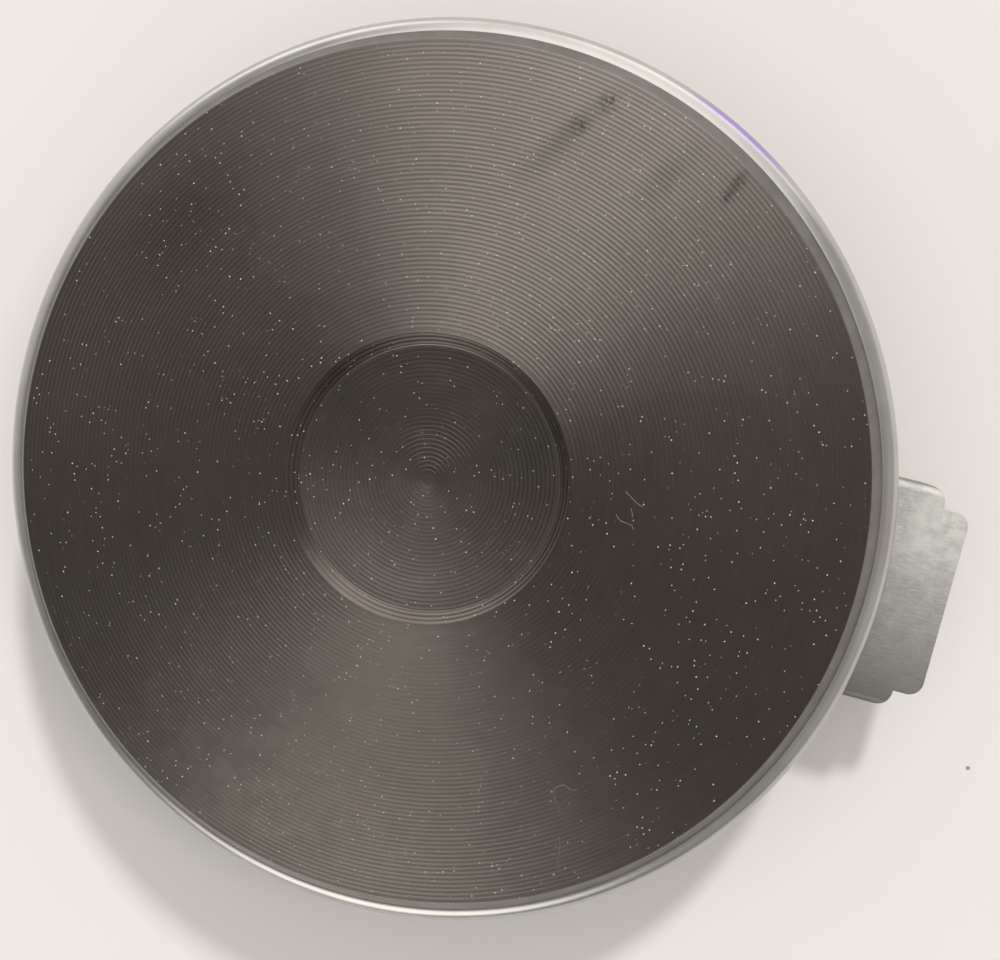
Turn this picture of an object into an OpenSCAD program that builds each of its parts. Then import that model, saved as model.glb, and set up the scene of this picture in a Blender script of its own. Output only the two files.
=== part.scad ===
// Solid cast-iron electric hotplate with an overflow ring and a radial terminal bracket.
// The origin is on the plate's axis at the outer face of the cover nut, at the root of the
// mounting stud. Z points to the cooking face and X points along the terminal bracket.

/* [Cooking plate] */
// Diameter of the grooved cooking face
disc_d = 176; // [172:1:190]
// Height of the cooking face above the hob sheet
rim_h = 8; // [7:0.5:9]
// Distance from the cooking face to the outside of the bottom cover
plate_h = 16; // [15.5:0.5:20]
// Iron between the cooking face and the heating channels
skin_t = 5.5; // [5:0.1:6]
// Width of the smooth bevel round the cooking face
bevel_w = 2.3; // [1.9:0.1:2.6]
// Drop of the smooth bevel
bevel_drop = 3.1; // [2:0.1:3.3]
// Wall of the skirt that hangs through the hob opening
skirt_t = 4; // [3:0.5:5]

/* [Recess] */
// Diameter of the unheated recess in the middle
recess_d = 59; // [50:1:62]
// Depth of the recess
recess_depth = 2.7; // [1.5:0.1:3.2]
// Radius of the cove between the recess wall and its floor
cove_r = 2.3; // [1:0.1:2.4]

/* [Turned grooves] */
// Distance from one turned groove to the next
groove_pitch = 0.9; // [0.8:0.1:2]
// Width of a groove
groove_w = 0.5; // [0.3:0.05:0.6]
// Depth of a groove
groove_depth = 0.1; // [0.05:0.01:0.15]

/* [Heating channels] */
// Width of a heating channel
channel_w = 6; // [5.5:0.1:6.1]
// Iron rib between two channels
rib_w = 2.6; // [2.2:0.1:2.7]
// Outer diameter of a heating coil
coil_d = 4; // [3:0.1:4.2]
// Diameter of the wire between a coil's two turns
link_d = 1.6; // [1:0.1:2]

/* [Overflow ring] */
// Thickness of the ring's sheet
ring_t = 0.5; // [0.4:0.1:0.8]
// Radius of the ring's rounded shoulder
ring_roll_r = 3.5; // [3:0.1:4]

/* [Bottom cover] */
// Thickness of the bottom cover's sheet
cover_t = 0.8; // [0.6:0.1:1]
// Radius at which the pressed stiffening bead runs
bead_r = 62; // [58:1:66]
// Height of the stiffening bead
bead_h = 0.9; // [0.5:0.1:1]

/* [Fixing stud] */
// Diameter of the mounting stud
stud_d = 6; // [5:0.5:8]
// Free length of the stud below the cover nut
stud_free_l = 13; // [10:1:25]
// Width of the cover nut across its flats
nut_af = 10; // [10:0.5:13]
// Height of the cover nut
nut_h = 5; // [4:0.5:6]
// Diameter of the washer under the nut
washer_d = 18; // [16:0.5:18]
// Thickness of that washer
washer_t = 1; // [0.8:0.1:2]
// Diameter of the pin that stops the plate from turning
peg_d = 4; // [3:0.5:5]
// Distance of that pin from the axis
peg_x = 16; // [15:0.5:20]
// Free length of that pin below its collar
peg_free_l = 10; // [8:1:14]

/* [Terminal bracket] */
// Thickness of the bracket's sheet
bracket_t = 0.8; // [0.8:0.1:1]
// Width of the bracket over its side flanges
bracket_w = 46.6; // [46:0.2:52]
// Distance from the axis to the end of the flanged part
bracket_reach = 102.4; // [101.5:0.1:110]
// Width of the flat tongue at the bracket's end
tongue_w = 38.8; // [34:0.2:40]
// Length of that tongue
tongue_l = 5.5; // [3:0.5:9]
// Radius of the tongue's corners
tongue_r = 3; // [1:0.5:3]
// Outer radius of the bends
bend_r = 1.8; // [1.4:0.1:2]

/* [Terminal block] */
// Length of the ceramic block along the bracket
block_l = 22; // [21.5:0.5:26]
// Thickness of the block's slab
block_t = 6; // [5:0.5:7]
// Distance between neighbouring terminals
terminal_pitch = 9; // [9:0.1:9.2]
// Diameter of the terminal screws
screw_d = 4; // [3:0.5:4]
// Diameter of the screw heads
head_d = 6.6; // [6:0.1:7]

/* [Leads] */
// Diameter of the leads
lead_d = 2; // [1.5:0.1:2]
// Distance between neighbouring leads where they leave the cover
lead_pitch = 6; // [5.6:0.1:6.5]
// Diameter of the ceramic beads on the leads
bead_d = 4.6; // [4:0.1:5]
// Length of one bead
bead_l = 6; // [4:0.5:8]

/* [Hidden] */
$fn = 96;

// Small overlap that joins the pieces of one solid, and the overshoot of a cut
joint = 0.2;
// Radial clearance of a screw thread and of a lead in its hole
thread_clear = 0.05;
lead_clear = 0.05;
// Radial clearance of a plain hole round a screw or stud, and of the ring's foot round the skirt
hole_clear = 0.2;
cover_hole_clear = 0.3;
foot_clear = 0.1;

// Heights, from the clamping face upwards
cover_z = nut_h + washer_t;
floor_z = cover_z + cover_t;
top_z = cover_z + plate_h;
seat_z = top_z - rim_h;
shelf_z = seat_z + ring_t;
bevel_z = top_z - bevel_drop;
ceiling_z = top_z - skin_t;
lead_space = 3.7;
rib_z = floor_z + lead_space;
compound_drop = 0.6;
compound_z = rib_z + compound_drop;
coil_z = (ceiling_z + compound_z) / 2;
skirt_gap = 1;
skirt_z = cover_z + skirt_gap;
recess_z = top_z - recess_depth;

// Radii of the iron casting
disc_r = disc_d / 2;
recess_r = recess_d / 2;
flange_r = disc_r + bevel_w;
shelf_w = 1.8;
skirt_r = flange_r - shelf_w;
skirt_in_r = skirt_r - skirt_t;
cover_land_w = 3;
heated_r = skirt_in_r - cover_land_w;
channel_pitch = channel_w + rib_w;
channel_count = 6;
inner_rib_w = 3;
hub_r = heated_r - channel_count * channel_pitch + rib_w - inner_rib_w;
hub_skin_t = 5.8;
hub_z = recess_z - hub_skin_t;
boss_r = 9;
stud_r = stud_d / 2;
stud_skin_t = 3.3;
stud_top_z = recess_z - stud_skin_t;
edge_break = 0.4;

// Plain lands beside the turned grooves
rim_land_w = 0.7;
recess_land_w = 0.6;
centre_land_r = 0.9;
cove_n = 8;
recess_floor_r = recess_r - cove_r;

// Pressed bead of the bottom cover
bead_half = 3;
bead_slope = 1.3;

// Leads: one for each circuit, and one that is common to all three
stub_l = 1.5;
lead_r = lead_d / 2;
run_gap = 0.3;
run_z = rib_z - run_gap - lead_r;
lead_y = [1.5 * lead_pitch, 0.5 * lead_pitch, -0.5 * lead_pitch, -1.5 * lead_pitch];
common = 3;
bushing_x = 19.5;
bushing_l = 9;
bushing_flange = 2;
bushing_flange_t = 1.2;
bushing_z = 1;
bushing_margin = 3.4;
bushing_w = 3 * lead_pitch + 2 * bushing_margin;
lead_bend_r = 2.5;
bead_gap = 0.3;
first_bead = 3;
last_bead = 2;

// Bracket, terminal block and what is on it
bracket_z = cover_z - bracket_t;
flange_h = 10;
flange_z = cover_z - flange_h;
block_clear = bend_r - bracket_t;
block_w = bracket_w - 2 * bracket_t - 2 * block_clear;
block_end_gap = 2.4;
block_x = bracket_reach - block_end_gap - block_l;
lug_inset = 6;
lug_x = block_x + lug_inset;
lug_l = 8;
lug_w = 3.1;
block_z = bracket_z - block_t;
barrier_t = 1.4;
barrier_h = 7;
barrier_z = block_z - barrier_h;
shoulder_h = 4;
plate_t = 2;
plate_l = 17;
plate_w = 6.4;
plate_inset = 2;
plate_x = block_x + plate_inset;
plate_z = block_z - plate_t;
weld_inset = 5;
weld_x = plate_x + weld_inset;
screw_inset = 14;
screw_x = block_x + screw_inset;
clamp_w = 7;
clamp_t = 1.2;
clamp_z = plate_z - clamp_t;
head_h = 2.6;
lead_z = plate_z - lead_r;
screw_r = screw_d / 2;
screw_bite = 2.5;
screw_tip_z = block_z + screw_bite;
terminal_y = [for (i = [0:3]) (1.5 - i) * terminal_pitch];

function channel_r(i) = heated_r - i * channel_pitch;
function channel_mid(i) = channel_r(i) - channel_w / 2;
function chord_x(r, y) = sqrt(r * r - y * y);
function arc(cx, cy, r, a0, a1, n) =
    [for (i = [0:n]) let (a = a0 + (a1 - a0) * i / n) [cx + r * cos(a), cy + r * sin(a)]];
function joined(lists) = [for (l = lists) for (p = l) p];

// Turned grooves between two radii at one height, listed from the inside outwards
function grooves(r_in, r_out, z) =
    let (n = floor((r_out - r_in) / groove_pitch))
    joined([for (k = [n - 1:-1:0])
        let (r = r_out - k * groove_pitch)
        [[r - groove_w, z], [r - groove_w / 2, z - groove_depth], [r, z]]]);

// Underside of the channels, listed from the outside inwards
channel_profile = joined([for (i = [0:channel_count - 1])
    [[channel_r(i), rib_z], [channel_r(i), ceiling_z],
     [channel_r(i) - channel_w, ceiling_z], [channel_r(i) - channel_w, rib_z]]]);

body_profile = joined([
    [[0, stud_top_z], [0, recess_z]],
    grooves(centre_land_r, recess_floor_r - recess_land_w, recess_z),
    arc(recess_floor_r, recess_z + cove_r, cove_r, -90, -12, cove_n),
    [[recess_r + edge_break / 2, top_z]],
    grooves(recess_r + recess_land_w, disc_r - rim_land_w, top_z),
    [[disc_r, top_z], [flange_r, bevel_z], [flange_r, shelf_z], [skirt_r, shelf_z],
     [skirt_r, skirt_z + edge_break], [skirt_r - edge_break, skirt_z],
     [skirt_in_r + edge_break, skirt_z], [skirt_in_r, skirt_z + edge_break],
     [skirt_in_r, rib_z]],
    channel_profile,
    [[hub_r, rib_z], [hub_r, hub_z], [boss_r, hub_z], [boss_r, floor_z],
     [stud_r + thread_clear, floor_z], [stud_r + thread_clear, stud_top_z]]
]);

// Where a circuit's two turns end, and the notch through the rib between them
function gap_y0() = lead_y[common] - stub_l;
function gap_y1(c) = lead_y[c] + stub_l;

module rib_notch(c, z0, z1) {
    x0 = chord_x(channel_r(2 * c + 1), max(abs(gap_y0()), abs(gap_y1(c)))) - joint;
    x1 = channel_r(2 * c) - channel_w + joint;
    translate([x0, gap_y0(), z0])
        cube([x1 - x0, gap_y1(c) - gap_y0(), z1 - z0]);
}

module hotplate_body() color([0.30, 0.28, 0.26]) difference() {
    rotate_extrude() polygon(body_profile);
    for (c = [0:2]) rib_notch(c, rib_z - joint, coil_z + link_d);
}

module overflow_ring() color([0.80, 0.80, 0.78]) {
    outer_r = flange_r + ring_roll_r;
    roll_z = bevel_z - ring_roll_r;
    foot_r = skirt_r + foot_clear;
    fold_r = 0.9;
    inner_roll = ring_roll_r - ring_t;
    inner_fold = fold_r - ring_t;
    rotate_extrude() polygon(joined([
        arc(flange_r, roll_z, ring_roll_r, 90, 0, 12),
        arc(outer_r - fold_r, seat_z + fold_r, fold_r, 0, -90, 5),
        [[foot_r, seat_z], [foot_r, shelf_z]],
        arc(outer_r - fold_r, seat_z + fold_r, inner_fold, -90, 0, 5),
        arc(flange_r, roll_z, inner_roll, 0, 90, 12)
    ]));
}

module circuit_gap(c) {
    translate([0, gap_y0(), coil_z - coil_d])
        cube([disc_d, gap_y1(c) - gap_y0(), 2 * coil_d]);
}

// A straight wire of radius r from one point to another at one height
module level_wire(a, b, z, r) {
    span = b - a;
    translate([a.x, a.y, z])
        rotate([0, 0, atan2(span.y, span.x)])
            rotate([0, 90, 0]) cylinder(r = r, h = norm(span));
}

// A circuit's two turns, with the wire that joins them across the gap
module heating_coil(c) color([0.55, 0.52, 0.48]) {
    ra = channel_mid(2 * c);
    rb = channel_mid(2 * c + 1);
    a = [chord_x(ra, gap_y0()), gap_y0()];
    b = [chord_x(rb, gap_y1(c)), gap_y1(c)];
    along = (b - a) / norm(b - a);
    union() {
        difference() {
            for (r = [ra, rb]) rotate_extrude() translate([r, coil_z]) circle(d = coil_d);
            circuit_gap(c);
        }
        level_wire(a - along, b + along, coil_z, link_d / 2);
    }
}

// The compound pressed round one circuit's coil and leads
module insulation(c) color([0.82, 0.80, 0.74]) difference() {
    union() {
        for (i = [2 * c, 2 * c + 1])
            rotate_extrude() translate([channel_r(i) - channel_w, compound_z])
                square([channel_w, ceiling_z - compound_z]);
        rib_notch(c, compound_z, coil_z + link_d);
    }
    heating_coil(c);
    lead_top(c);
    common_stub(c);
}

module lead_drop(x, y) {
    translate([x, y, run_z]) cylinder(r = lead_r, h = coil_z - run_z);
    translate([x, y, coil_z]) sphere(r = lead_r);
    translate([x, y, run_z]) sphere(r = lead_r);
}

// The upper end of a circuit's own lead: from the coil's end down to the run
module lead_top(c) {
    y_end = gap_y1(c);
    x = chord_x(channel_mid(2 * c), y_end);
    translate([x, lead_y[c], coil_z]) rotate([-90, 0, 0]) cylinder(r = lead_r, h = stub_l);
    lead_drop(x, lead_y[c]);
}

// The same for one circuit's end on the common lead
module common_stub(c) {
    x = chord_x(channel_mid(2 * c + 1), gap_y0());
    translate([x, gap_y0(), coil_z]) rotate([-90, 0, 0]) cylinder(r = lead_r, h = stub_l);
    lead_drop(x, lead_y[common]);
}

function lead_heading(i) = atan2(terminal_y[i] - lead_y[i], weld_x - bushing_x);
function lead_run_l(i) = norm([weld_x - bushing_x, terminal_y[i] - lead_y[i]]);

// From the run inside the cover, through the bushing and out to the terminal
module lead_tail(i, x_start) {
    translate([bushing_x, lead_y[i], run_z])
        rotate([0, 90, 0]) cylinder(r = lead_r, h = x_start - bushing_x);
    translate([bushing_x, lead_y[i], run_z]) sphere(r = lead_r);
    translate([bushing_x, lead_y[i], lead_z + lead_bend_r])
        cylinder(r = lead_r, h = run_z - lead_z - lead_bend_r);
    translate([bushing_x, lead_y[i], lead_z + lead_bend_r])
        rotate([0, 0, lead_heading(i)]) {
            translate([lead_bend_r, 0, 0])
                rotate([90, 0, 0])
                    rotate([0, 0, 180])
                        rotate_extrude(angle = 90) translate([lead_bend_r, 0]) circle(r = lead_r);
            translate([lead_bend_r, 0, -lead_bend_r])
                rotate([0, 90, 0]) cylinder(r = lead_r, h = lead_run_l(i) - lead_bend_r);
        }
}

module lead(i) color([0.70, 0.68, 0.62]) union() {
    lead_top(i);
    lead_tail(i, chord_x(channel_mid(2 * i), gap_y1(i)));
}

module lead_common() color([0.70, 0.68, 0.62]) union() {
    for (c = [0:2]) common_stub(c);
    lead_tail(common, chord_x(channel_mid(1), gap_y0()));
}

// Ceramic beads threaded on the stretch of a lead below the bracket
module lead_beads(i) color([0.90, 0.88, 0.80]) {
    first = lead_bend_r + first_bead;
    last = lead_run_l(i) - (weld_x - block_x) - last_bead;
    step = bead_l + bead_gap;
    count = floor((last - first) / step);
    bead_break = 0.6;
    hole_r = lead_r + lead_clear;
    translate([bushing_x, lead_y[i], lead_z])
        rotate([0, 0, lead_heading(i)])
            for (k = [0:count - 1])
                translate([first + k * step, 0, 0]) rotate([0, 90, 0])
                    rotate_extrude() polygon([
                        [hole_r, 0], [bead_d / 2 - bead_break, 0], [bead_d / 2, bead_break],
                        [bead_d / 2, bead_l - bead_break], [bead_d / 2 - bead_break, bead_l],
                        [hole_r, bead_l]]);
}

module lead_bushing() color([0.92, 0.90, 0.84]) difference() {
    union() {
        translate([bushing_x - bushing_l / 2, -bushing_w / 2, bushing_z])
            cube([bushing_l, bushing_w, floor_z + joint - bushing_z]);
        translate([bushing_x - bushing_l / 2 - bushing_flange,
                   -bushing_w / 2 - bushing_flange, floor_z])
            cube([bushing_l + 2 * bushing_flange, bushing_w + 2 * bushing_flange,
                  bushing_flange_t]);
    }
    for (y = lead_y)
        translate([bushing_x, y, bushing_z - joint])
            cylinder(r = lead_r + lead_clear,
                     h = floor_z + bushing_flange_t - bushing_z + 2 * joint);
}

// The cover's pressed bead at one face of the sheet, listed from the inside outwards
function bead_path(z) = [
    [bead_r - bead_half, z], [bead_r - bead_half + bead_slope, z + bead_h],
    [bead_r + bead_half - bead_slope, z + bead_h], [bead_r + bead_half, z]];

module bottom_cover() color([0.75, 0.76, 0.76]) {
    edge_gap = 0.3;
    wall_inset = 2.1;
    wall_slope = 1.4;
    flange_out_r = skirt_in_r - edge_gap;
    wall_top_r = skirt_in_r - wall_inset;
    wall_low_r = wall_top_r - wall_slope;
    rise = lead_space;
    wall_angle = atan2(rise, wall_top_r - wall_low_r);
    shift = cover_t * tan(wall_angle / 2);
    difference() {
        rotate_extrude() polygon(joined([
            [[stud_r + cover_hole_clear, cover_z]],
            bead_path(cover_z),
            [[wall_low_r, cover_z], [wall_top_r, cover_z + rise],
             [flange_out_r, cover_z + rise], [flange_out_r, rib_z],
             [wall_top_r - shift, rib_z], [wall_low_r - shift, floor_z]],
            [for (i = [3:-1:0]) bead_path(floor_z)[i]],
            [[stud_r + cover_hole_clear, floor_z]]
        ]));
        translate([bushing_x - bushing_l / 2 - lead_clear * 2,
                   -bushing_w / 2 - lead_clear * 2, cover_z - joint])
            cube([bushing_l + lead_clear * 4, bushing_w + lead_clear * 4,
                  cover_t + 2 * joint]);
        translate([-peg_x, 0, cover_z - joint])
            cylinder(d = peg_d, h = cover_t + 2 * joint);
    }
}

// Threaded stud with a short thread relief where its free length begins
module mounting_stud() color([0.62, 0.62, 0.60]) {
    tip = 0.8;
    relief_depth = 0.3;
    relief_r = stud_r - relief_depth;
    relief_h = 0.8;
    rotate_extrude() polygon([
        [0, -stud_free_l], [stud_r - tip, -stud_free_l], [stud_r, -stud_free_l + tip],
        [stud_r, 0], [relief_r, 0], [relief_r, relief_h], [stud_r, relief_h],
        [stud_r, stud_top_z], [0, stud_top_z]]);
}

module cover_washer() color([0.72, 0.72, 0.70]) difference() {
    translate([0, 0, nut_h]) cylinder(d = washer_d, h = washer_t);
    translate([0, 0, nut_h - joint]) cylinder(r = stud_r + hole_clear, h = washer_t + 2 * joint);
}

module cover_nut() color([0.72, 0.72, 0.70]) difference() {
    cylinder(r = nut_af / 2 / cos(30), h = nut_h, $fn = 6);
    translate([0, 0, -joint]) cylinder(r = stud_r + thread_clear, h = nut_h + 2 * joint);
}

// Turned pin, riveted into the cover between its head and its collar
module locating_pin() color([0.72, 0.72, 0.70]) {
    head_t = 1.2;
    collar_t = 1.4;
    shoulder_w = 1.5;
    head_r = peg_d / 2 + shoulder_w;
    tip = 0.5;
    low_z = cover_z - collar_t;
    end_z = low_z - peg_free_l;
    translate([-peg_x, 0, 0]) rotate_extrude() polygon([
        [0, end_z], [peg_d / 2 - tip, end_z], [peg_d / 2, end_z + tip],
        [peg_d / 2, low_z], [head_r, low_z], [head_r, cover_z], [peg_d / 2, cover_z],
        [peg_d / 2, floor_z], [head_r, floor_z], [head_r, floor_z + head_t],
        [0, floor_z + head_t]]);
}

// A rectangle from x0 to x1 with its two outer corners rounded
module rounded_end(x0, x1, w, r) {
    translate([x0, -w / 2]) square([x1 - x0 - r, w]);
    translate([x0, -w / 2 + r]) square([x1 - x0, w - 2 * r]);
    for (s = [-1, 1]) translate([x1 - r, s * (w / 2 - r)]) circle(r = r);
}

module bracket_plan() {
    root_x = 30;
    root_w = 28;
    full_x = 58;
    corner_r = 3.5;
    polygon([[root_x, -root_w / 2], [full_x, -bracket_w / 2], [full_x, bracket_w / 2],
             [root_x, root_w / 2]]);
    rounded_end(full_x - joint, bracket_reach, bracket_w, corner_r);
    rounded_end(full_x, bracket_reach + tongue_l, tongue_w, tongue_r);
}

// A quarter of a bend, from the direction of X to the direction of Y
module bend_section() {
    intersection() {
        difference() {
            circle(r = bend_r);
            circle(r = bend_r - bracket_t);
        }
        square(bend_r);
    }
}

// Half of the folded section, with Y across the bracket and Z up
module flange_section(lug) {
    edge = bracket_w / 2 - bend_r;
    translate([edge, cover_z - bend_r]) bend_section();
    translate([edge + bend_r - bracket_t, flange_z + (lug ? bend_r : 0)])
        square([bracket_t, cover_z - bend_r - flange_z - (lug ? bend_r : 0)]);
    if (lug) {
        translate([edge, flange_z + bend_r]) mirror([0, 1]) bend_section();
        translate([edge - lug_w + bend_r - bracket_t, flange_z])
            square([lug_w - bend_r + bracket_t, bracket_t]);
    }
}

module along_bracket(x0, x1) {
    translate([x0, 0, 0]) rotate([90, 0, 90]) linear_extrude(height = x1 - x0) children();
}

module terminal_bracket() color([0.70, 0.71, 0.70]) {
    flange_x = 60;
    blade_w = 6.3;
    blade_l = 8;
    blade_x = 63;
    blade_hole_d = 1.65;
    weld_d = 4;
    weld_depth = 0.25;
    near_weld_x = 38;
    far_weld_x = 50;
    far_weld_y = 15;
    difference() {
        union() {
            intersection() {
                translate([0, 0, flange_z - joint])
                    linear_extrude(height = cover_z - flange_z + 2 * joint) bracket_plan();
                union() {
                    translate([0, 0, bracket_z]) linear_extrude(height = bracket_t) {
                        translate([0, -bracket_w / 2]) square([flange_x, bracket_w]);
                        translate([flange_x, -bracket_w / 2 + bend_r])
                            square([bracket_reach, bracket_w - 2 * bend_r]);
                    }
                    for (s = [0, 1]) mirror([0, s, 0])
                        along_bracket(flange_x, bracket_reach) flange_section(false);
                }
            }
            for (s = [0, 1]) mirror([0, s, 0]) {
                along_bracket(lug_x, lug_x + lug_l) flange_section(true);
            }
            translate([blade_x, -bracket_w / 2, flange_z - blade_l])
                cube([blade_w, bracket_t, blade_l + joint]);
        }
        translate([blade_x + blade_w / 2, -bracket_w / 2 - joint, flange_z - blade_l / 2])
            rotate([-90, 0, 0]) cylinder(d = blade_hole_d, h = bracket_t + 2 * joint);
        for (p = [[near_weld_x, 0], [far_weld_x, far_weld_y], [far_weld_x, -far_weld_y]])
            translate([p.x, p.y, bracket_z - joint])
                cylinder(d = weld_d, h = joint + weld_depth);
    }
}

// Half of the block's section, with Y across the bracket and Z up
module block_section() {
    shoulder_y = 2 * terminal_pitch + barrier_t / 2;
    translate([0, block_z]) square([block_w / 2, block_t]);
    for (i = [0:2])
        translate([max(0, i * terminal_pitch - barrier_t / 2), barrier_z])
            square([i > 0 ? barrier_t : barrier_t / 2, barrier_h + joint]);
    translate([shoulder_y - joint, block_z - shoulder_h])
        square([block_w / 2 - shoulder_y + joint, shoulder_h + joint]);
}

module terminal_block() color([0.93, 0.91, 0.86]) difference() {
    lug_clear = 0.3;
    pit_clear = 0.4;
    tip_clear = 0.8;
    pit_r = screw_r + pit_clear;
    pit_h = screw_bite + tip_clear;
    pocket_w = block_w / 2 + joint - (bracket_w / 2 - bracket_t - lug_w - lug_clear);
    along_bracket(block_x, block_x + block_l) {
        block_section();
        mirror([1, 0]) block_section();
    }
    for (s = [0, 1]) mirror([0, s, 0])
        translate([lug_x - lug_clear, block_w / 2 + joint - pocket_w,
                   block_z - shoulder_h - joint])
            cube([lug_l + 2 * lug_clear, pocket_w,
                  flange_z + bracket_t - block_z + shoulder_h + joint]);
    for (y = terminal_y)
        translate([screw_x, y, block_z - joint]) cylinder(r = pit_r, h = pit_h + joint);
}

module terminal_plate(i) color([0.78, 0.76, 0.68]) difference() {
    translate([plate_x, terminal_y[i] - plate_w / 2, plate_z])
        cube([plate_l, plate_w, plate_t]);
    translate([screw_x, terminal_y[i], plate_z - joint])
        cylinder(r = screw_r + thread_clear, h = plate_t + 2 * joint);
}

module clamp_washer(i) color([0.75, 0.75, 0.73]) difference() {
    translate([screw_x - clamp_w / 2, terminal_y[i] - clamp_w / 2, clamp_z])
        cube([clamp_w, clamp_w, clamp_t]);
    translate([screw_x, terminal_y[i], clamp_z - joint])
        cylinder(r = screw_r + hole_clear, h = clamp_t + 2 * joint);
}

module terminal_screw(i) color([0.75, 0.75, 0.73]) {
    slot_w = 1;
    slot_depth = 1.2;
    head_break = 0.5;
    head_r = head_d / 2;
    low_z = clamp_z - head_h;
    translate([screw_x, terminal_y[i], 0]) difference() {
        rotate_extrude() polygon([
            [0, low_z], [head_r - head_break, low_z], [head_r, low_z + head_break],
            [head_r, clamp_z], [screw_r, clamp_z], [screw_r, screw_tip_z],
            [0, screw_tip_z]]);
        translate([-head_d, -slot_w / 2, low_z - joint])
            cube([2 * head_d, slot_w, slot_depth + joint]);
    }
}

hotplate_body();
overflow_ring();
heating_coil(0);  // heating_coil_outer
heating_coil(1);  // heating_coil_middle
heating_coil(2);  // heating_coil_inner
insulation(0);  // insulation_outer
insulation(1);  // insulation_middle
insulation(2);  // insulation_inner
bottom_cover();
mounting_stud();
cover_washer();
cover_nut();
locating_pin();
terminal_bracket();
terminal_block();
lead_bushing();
lead(0);  // lead_1
lead(1);  // lead_2
lead(2);  // lead_3
lead_common();
lead_beads(0);  // lead_beads_1
lead_beads(1);  // lead_beads_2
lead_beads(2);  // lead_beads_3
lead_beads(common);  // lead_beads_common
terminal_plate(0);  // terminal_plate_1
terminal_plate(1);  // terminal_plate_2
terminal_plate(2);  // terminal_plate_3
terminal_plate(3);  // terminal_plate_4
clamp_washer(0);  // clamp_washer_1
clamp_washer(1);  // clamp_washer_2
clamp_washer(2);  // clamp_washer_3
clamp_washer(3);  // clamp_washer_4
terminal_screw(0);  // terminal_screw_1
terminal_screw(1);  // terminal_screw_2
terminal_screw(2);  // terminal_screw_3
terminal_screw(3);  // terminal_screw_4
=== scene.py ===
# Looks of a cast-iron electric hotplate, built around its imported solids. Lengths are in mm
# until make_piece turns them into metres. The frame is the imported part's own: Z is the plate's
# axis and points to the cooking face, X runs along the terminal bracket.
import math

import bpy
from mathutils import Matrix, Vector


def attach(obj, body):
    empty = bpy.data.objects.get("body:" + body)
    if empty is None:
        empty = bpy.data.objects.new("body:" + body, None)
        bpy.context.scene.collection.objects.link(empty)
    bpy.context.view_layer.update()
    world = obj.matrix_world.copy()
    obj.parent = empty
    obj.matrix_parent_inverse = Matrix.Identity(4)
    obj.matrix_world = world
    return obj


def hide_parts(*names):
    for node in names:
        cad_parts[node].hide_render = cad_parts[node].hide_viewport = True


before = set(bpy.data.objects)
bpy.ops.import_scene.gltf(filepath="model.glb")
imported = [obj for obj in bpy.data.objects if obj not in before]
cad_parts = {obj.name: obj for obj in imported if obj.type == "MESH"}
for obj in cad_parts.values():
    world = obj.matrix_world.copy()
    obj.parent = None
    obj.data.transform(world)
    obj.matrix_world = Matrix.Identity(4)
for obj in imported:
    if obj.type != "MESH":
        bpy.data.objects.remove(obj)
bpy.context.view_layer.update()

MM = 0.001
TAU = 2 * math.pi

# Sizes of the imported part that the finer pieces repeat
BOX_TOP_Z, RECESS_Z, BEVEL_Z, SHELF_Z, SEAT_Z = 22.0, 19.3, 18.9, 14.5, 14.0
CEILING_Z, STUD_TOP_Z, HUB_Z, RIB_Z, SKIRT_Z, FLOOR_Z = 16.5, 16.0, 13.5, 10.5, 7.0, 6.8
DISC_R, FLANGE_R, SKIRT_R, SKIRT_IN_R, HEATED_R = 88.0, 90.3, 88.5, 84.5, 81.5
RECESS_R, HUB_R, BOSS_R = 29.5, 29.5, 9.0
STUD_R, STUD_END_Z, NUT_AF, NUT_H = 3.0, -13.0, 10.0, 5.0
THREAD_CLEAR = 0.05
CHANNELS, CHANNEL_W, CHANNEL_PITCH = 6, 6.0, 8.6
NOTCH_Z, NOTCH_LOW_Y, NOTCH_HIGH_Y = 15.4, -10.5, (10.5, 4.5, -1.5)
GROOVE_PITCH, GROOVE_DEPTH = 0.9, 0.035
RECESS_MARK, RECESS_STEP = 0.14, 0.09
WALL_LEAN, WALL_FOOT_R, WALL_MARK = 48, 0.5, 0.025
ROLL_R, RING_T, FOLD_R, RING_FOOT_R = 3.5, 0.5, 0.9, 88.6
TABLE_Z = STUD_END_Z
LAMP_DISTANCE = 1.2

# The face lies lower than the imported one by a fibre's height, so that lint on it stays in the box
FIBRE_R = 0.04
TOP_Z = BOX_TOP_Z - FIBRE_R

# Steps round the axis: the casting and the ring
PLATE_STEPS, RING_STEPS = 240, 288


# Camera, light and table

def on_sphere(azimuth, elevation, distance):
    """A point seen from the middle of the plate: degrees from X towards Y, degrees up, metres."""
    a, e = math.radians(azimuth), math.radians(elevation)
    return Vector((math.cos(a) * math.cos(e), math.sin(a) * math.cos(e), math.sin(e))) * distance


def add_lamp(name, spread, azimuth, elevation, power, colour):
    """A far lamp, spread degrees wide, that lights what is matt; what the metal mirrors is the room
    in light_world."""
    lamp = bpy.data.lights.new(name, "SUN")
    lamp.angle, lamp.energy, lamp.color = math.radians(spread), power, colour
    holder = bpy.data.objects.new(name, lamp)
    holder.location = on_sphere(azimuth, elevation, LAMP_DISTANCE)
    holder.rotation_euler = holder.location.to_track_quat("Z", "Y").to_euler()
    holder.visible_glossy = False
    bpy.context.scene.collection.objects.link(holder)


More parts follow.
